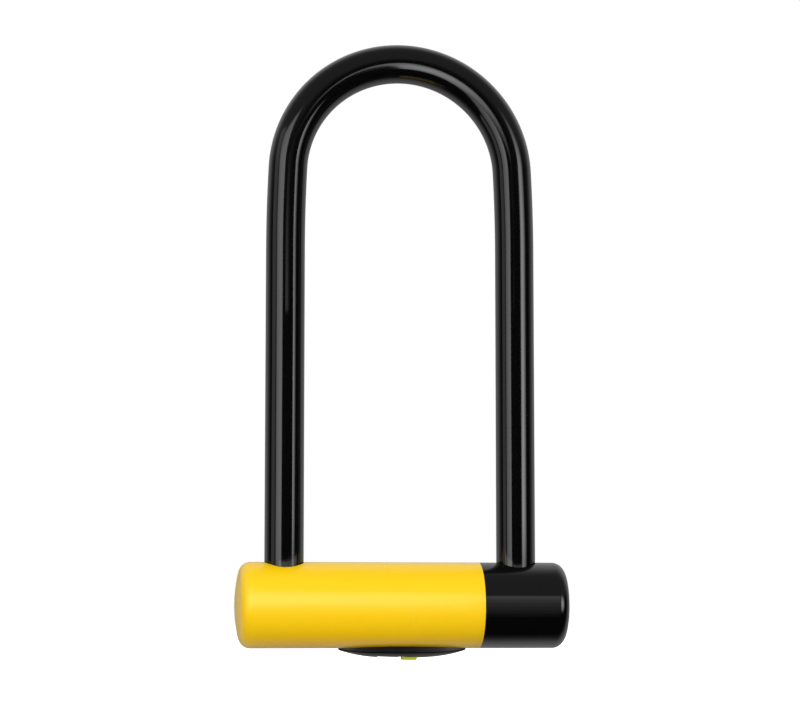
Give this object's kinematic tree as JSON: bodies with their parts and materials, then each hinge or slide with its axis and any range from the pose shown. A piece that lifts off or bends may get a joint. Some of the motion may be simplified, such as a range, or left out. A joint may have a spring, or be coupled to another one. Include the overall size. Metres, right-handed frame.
{
  "type": "u lock",
  "caption": "Bicycle U-lock: a long sleeved steel shackle whose feet enter a round crossbar with a key cylinder underneath.",
  "frame": {"origin": "below the middle of the crossbar, at the height of the lowest point, the thumb tab of the dust cover", "axes": "+Z from the crossbar up the legs to the crown, +X along the crossbar to its black end, -Y to the front"},
  "size_m": [0.1752, 0.0448, 0.3263],
  "materials": {
    "yellow_vinyl": "smooth glossy yellow vinyl",
    "black_vinyl": "smooth glossy black vinyl",
    "black_nylon": "moulded black nylon, half gloss",
    "lime_acetal": "moulded lime green acetal",
    "bush_rubber": "moulded rubber",
    "hardened_steel": "hardened steel, ground",
    "plated_steel": "zinc plated steel",
    "guide_nylon": "glass-filled nylon",
    "cylinder_brass": "machined brass"
  },
  "bodies": {
    "crossbar": {"crossbar_cover": "yellow_vinyl", "end_cap": "black_vinyl", "crossbar_tube": "hardened_steel", "left_end_plug": "hardened_steel", "right_end_plug": "hardened_steel", "left_plug_pin": "plated_steel", "right_plug_pin": "plated_steel", "left_foot_block": "hardened_steel", "right_foot_block": "hardened_steel", "left_leg_bush": "bush_rubber", "right_leg_bush": "bush_rubber", "left_bolt_guide": "guide_nylon", "right_bolt_guide": "guide_nylon", "cylinder_housing": "plated_steel", "cylinder_pins": "plated_steel", "keyhole_bezel": "black_nylon", "bezel_studs": "plated_steel"},
    "shackle": {"shackle_bar": "hardened_steel", "shackle_sleeve": "black_vinyl"},
    "key_barrel": {"core_barrel": "cylinder_brass", "front_plate": "hardened_steel", "disc_1": "cylinder_brass", "disc_2": "cylinder_brass", "disc_3": "cylinder_brass", "disc_4": "cylinder_brass", "disc_5": "cylinder_brass", "disc_6": "cylinder_brass", "disc_7": "cylinder_brass", "disc_8": "cylinder_brass", "spacer_1": "plated_steel", "spacer_2": "plated_steel", "spacer_3": "plated_steel", "spacer_4": "plated_steel", "spacer_5": "plated_steel", "spacer_6": "plated_steel", "spacer_7": "plated_steel", "sidebar": "plated_steel", "scroll_cam": "plated_steel", "cam_screw": "plated_steel"},
    "left_bolt": {"left_deadbolt": "plated_steel", "left_bolt_pin": "plated_steel"},
    "right_bolt": {"right_deadbolt": "plated_steel", "right_bolt_pin": "plated_steel"},
    "shutter": {"dust_cover": "lime_acetal"}
  },
  "joints": [
    {"name": "shackle_lift", "type": "slide", "parent": "crossbar", "child": "shackle", "axis": [0, 0, 1], "range_m": [0, 0.05]},
    {"name": "key_turn", "type": "hinge", "parent": "crossbar", "child": "key_barrel", "pos_m": [0, 0, 0.017], "axis": [0, 0, 1], "range_deg": [0, 90]},
    {"name": "left_bolt_throw", "type": "slide", "parent": "crossbar", "child": "left_bolt", "axis": [-1, 0, 0], "range_m": [0, 0.005]},
    {"name": "right_bolt_throw", "type": "slide", "parent": "crossbar", "child": "right_bolt", "axis": [1, 0, 0], "range_m": [0, 0.005]},
    {"name": "dust_cover_slide", "type": "slide", "parent": "crossbar", "child": "shutter", "axis": [-1, 0, 0], "range_m": [0, 0.0127]}
  ],
  "couplings": [
    {"joint": "left_bolt_throw", "follows": "key_turn", "m_per_rad": 0.003183},
    {"joint": "right_bolt_throw", "follows": "key_turn", "m_per_rad": 0.003183}
  ]
}
